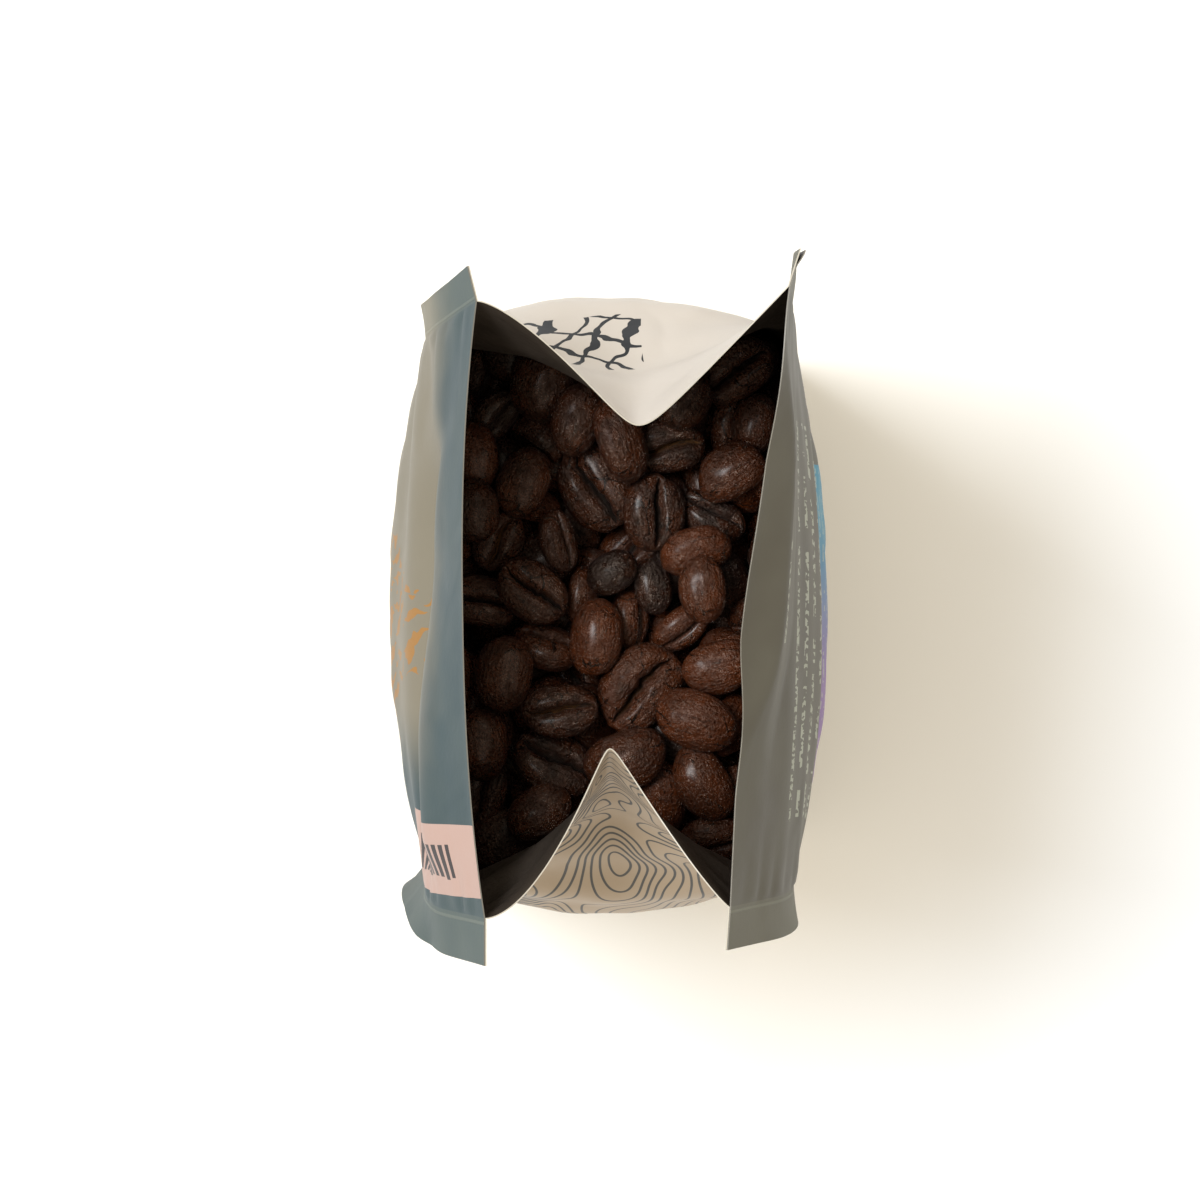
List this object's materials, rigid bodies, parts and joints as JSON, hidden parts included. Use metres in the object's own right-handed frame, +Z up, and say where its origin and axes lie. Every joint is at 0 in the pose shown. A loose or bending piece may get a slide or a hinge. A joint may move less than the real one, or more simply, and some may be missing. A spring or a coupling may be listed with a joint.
{
  "type": "coffee bag",
  "caption": "Open, upright side-gusset film bag with sealed corner fins, filled with dark roasted coffee beans.",
  "frame": {"origin": "middle of the bag's footprint, on the plane it stands on", "axes": "+Z up, out of the open mouth; -Y out of the front panel; +X out of one gusset"},
  "size_m": [0.0958, 0.0634, 0.185],
  "materials": {
    "film": "satin printed laminate, blue-grey, with a charcoal inner face",
    "beans": "dark roasted, lightly oily"
  },
  "bodies": {
    "root": {"film_bag": "film", "coffee_beans": "beans"}
  },
  "joints": []
}
